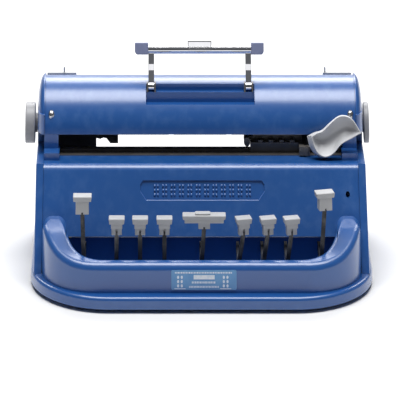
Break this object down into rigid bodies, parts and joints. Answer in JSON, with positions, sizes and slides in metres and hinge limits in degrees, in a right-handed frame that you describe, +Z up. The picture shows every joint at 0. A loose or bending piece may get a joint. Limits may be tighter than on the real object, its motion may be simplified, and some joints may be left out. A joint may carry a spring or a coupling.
{
  "type": "braille writer",
  "caption": "Mechanical braille writer with chord keys, space bar, sliding embossing carriage, paper roller and folding carry handle.",
  "frame": {"origin": "middle of the base on the plane that the rubber feet rest on", "axes": "+X to the user's right, +Y to the rear, +Z up"},
  "size_m": [0.3938, 0.229, 0.1725],
  "materials": {
    "blue_enamel": "satin enamel, fine texture",
    "label": "satin printed foil, plain",
    "feet_rubber": "matte",
    "bright_steel": "turned",
    "chrome": "polished",
    "tab_grey": "satin",
    "blackened_steel": "black oxide",
    "spring_steel": "plated",
    "bell_brass": "polished",
    "roller_rubber": "ground rubber",
    "grey_plastic": "satin moulded",
    "stop_plastic": "satin"
  },
  "bodies": {
    "frame": {"base_pan": "blue_enamel", "rubber_feet": "feet_rubber", "front_cover": "blue_enamel", "left_side_panel": "blue_enamel", "right_side_panel": "blue_enamel", "top_cover": "blue_enamel", "rear_cover": "blue_enamel", "cover_screws": "bright_steel", "label_plate": "label", "carriage_rail": "blackened_steel", "guide_rod": "bright_steel", "escapement_rack": "blackened_steel", "left_bracket": "blackened_steel", "right_bracket": "blackened_steel", "mainspring_housing": "spring_steel", "bell": "bell_brass", "key_rod": "bright_steel", "key_rod_brackets": "blackened_steel", "key_springs": "spring_steel", "key_comb": "blue_enamel", "margin_bar": "bright_steel", "release_pins": "bright_steel", "handle_clevises": "blackened_steel"},
    "handle": {"handle_frame": "chrome", "handle_end_tabs": "tab_grey", "handle_thumb_plate": "chrome"},
    "carriage": {"carriage_block": "blackened_steel", "embossing_head": "blackened_steel", "embossing_pins": "bright_steel", "lever_bracket": "blackened_steel"},
    "carriage_lever": {"carriage_lever": "grey_plastic"},
    "paper_roller": {"roller_shaft": "bright_steel", "roller_sleeves": "roller_rubber", "line_ratchet": "blackened_steel", "left_knob": "grey_plastic", "right_knob": "grey_plastic"},
    "pressure_roller": {"pressure_roller": "roller_rubber"},
    "left_release": {"left_release_lever": "grey_plastic"},
    "right_release": {"right_release_lever": "grey_plastic"},
    "left_stop": {"left_margin_stop": "stop_plastic"},
    "right_stop": {"right_margin_stop": "stop_plastic"},
    "bell_hammer": {"bell_hammer": "bright_steel"},
    "dot1_key": {"dot1_key_cap": "grey_plastic", "dot1_key_lever": "blackened_steel"},
    "dot2_key": {"dot2_key_cap": "grey_plastic", "dot2_key_lever": "blackened_steel"},
    "dot3_key": {"dot3_key_cap": "grey_plastic", "dot3_key_lever": "blackened_steel"},
    "dot4_key": {"dot4_key_cap": "grey_plastic", "dot4_key_lever": "blackened_steel"},
    "dot5_key": {"dot5_key_cap": "grey_plastic", "dot5_key_lever": "blackened_steel"},
    "dot6_key": {"dot6_key_cap": "grey_plastic", "dot6_key_lever": "blackened_steel"},
    "space_key": {"space_key_cap": "grey_plastic", "space_key_lever": "blackened_steel"},
    "line_key": {"line_key_cap": "grey_plastic", "line_key_lever": "blackened_steel"},
    "back_key": {"back_key_cap": "grey_plastic", "back_key_lever": "blackened_steel"}
  },
  "joints": [
    {"name": "handle_fold", "type": "hinge", "parent": "frame", "child": "handle", "pos_m": [0, 0.027, 0.1368], "axis": [1, 0, 0], "range_deg": [0, 118]},
    {"name": "dot1_press", "type": "hinge", "parent": "frame", "child": "dot1_key", "pos_m": [0, 0.095, 0.025], "axis": [1, 0, 0], "range_deg": [0, 2.7], "stiffness_Nm_per_rad": 1, "springref_deg": -8.59},
    {"name": "dot2_press", "type": "hinge", "parent": "frame", "child": "dot2_key", "pos_m": [0, 0.095, 0.025], "axis": [1, 0, 0], "range_deg": [0, 2.7], "stiffness_Nm_per_rad": 1, "springref_deg": -8.59},
    {"name": "dot3_press", "type": "hinge", "parent": "frame", "child": "dot3_key", "pos_m": [0, 0.095, 0.025], "axis": [1, 0, 0], "range_deg": [0, 2.7], "stiffness_Nm_per_rad": 1, "springref_deg": -8.59},
    {"name": "dot4_press", "type": "hinge", "parent": "frame", "child": "dot4_key", "pos_m": [0, 0.095, 0.025], "axis": [1, 0, 0], "range_deg": [0, 2.7], "stiffness_Nm_per_rad": 1, "springref_deg": -8.59},
    {"name": "dot5_press", "type": "hinge", "parent": "frame", "child": "dot5_key", "pos_m": [0, 0.095, 0.025], "axis": [1, 0, 0], "range_deg": [0, 2.7], "stiffness_Nm_per_rad": 1, "springref_deg": -8.59},
    {"name": "dot6_press", "type": "hinge", "parent": "frame", "child": "dot6_key", "pos_m": [0, 0.095, 0.025], "axis": [1, 0, 0], "range_deg": [0, 2.7], "stiffness_Nm_per_rad": 1, "springref_deg": -8.59},
    {"name": "space_press", "type": "hinge", "parent": "frame", "child": "space_key", "pos_m": [0, 0.095, 0.025], "axis": [1, 0, 0], "range_deg": [0, 2.7], "stiffness_Nm_per_rad": 1, "springref_deg": -8.59},
    {"name": "line_press", "type": "hinge", "parent": "frame", "child": "line_key", "pos_m": [0, 0.095, 0.025], "axis": [1, 0, 0], "range_deg": [0, 2.7], "stiffness_Nm_per_rad": 1, "springref_deg": -8.59},
    {"name": "back_press", "type": "hinge", "parent": "frame", "child": "back_key", "pos_m": [0, 0.095, 0.025], "axis": [1, 0, 0], "range_deg": [0, 2.7], "stiffness_Nm_per_rad": 1, "springref_deg": -8.59},
    {"name": "carriage_slide", "type": "slide", "parent": "frame", "child": "carriage", "axis": [-1, 0, 0], "range_m": [0, 0.203]},
    {"name": "carriage_lever_squeeze", "type": "hinge", "parent": "carriage", "child": "carriage_lever", "pos_m": [0.121, 0.0055, 0.092], "axis": [0, 0, 1], "range_deg": [0, 5], "stiffness_Nm_per_rad": 0.5, "springref_deg": -5.73},
    {"name": "roller_turn", "type": "hinge", "parent": "frame", "child": "paper_roller", "pos_m": [0, 0.0455, 0.1035], "axis": [1, 0, 0], "continuous": true},
    {"name": "pressure_roller_turn", "type": "hinge", "parent": "frame", "child": "pressure_roller", "pos_m": [0, 0.05683, 0.11306], "axis": [1, 0, 0], "continuous": true},
    {"name": "left_release_pull", "type": "hinge", "parent": "frame", "child": "left_release", "pos_m": [-0.1749, 0.097, 0.1], "axis": [1, 0, 0], "range_deg": [0, 11]},
    {"name": "right_release_pull", "type": "hinge", "parent": "frame", "child": "right_release", "pos_m": [0.1749, 0.097, 0.1], "axis": [1, 0, 0], "range_deg": [0, 11]},
    {"name": "left_stop_slide", "type": "slide", "parent": "frame", "child": "left_stop", "axis": [1, 0, 0], "range_m": [-0.027, 0.108]},
    {"name": "right_stop_slide", "type": "slide", "parent": "frame", "child": "right_stop", "axis": [1, 0, 0], "range_m": [-0.12, 0.02]},
    {"name": "bell_strike", "type": "hinge", "parent": "frame", "child": "bell_hammer", "pos_m": [-0.136, 0.066, 0.031], "axis": [0, 1, 0], "range_deg": [0, 14], "stiffness_Nm_per_rad": 0.005, "springref_deg": -5.73}
  ],
  "couplings": [
    {"joint": "pressure_roller_turn", "follows": "roller_turn", "ratio": -1.9}
  ]
}
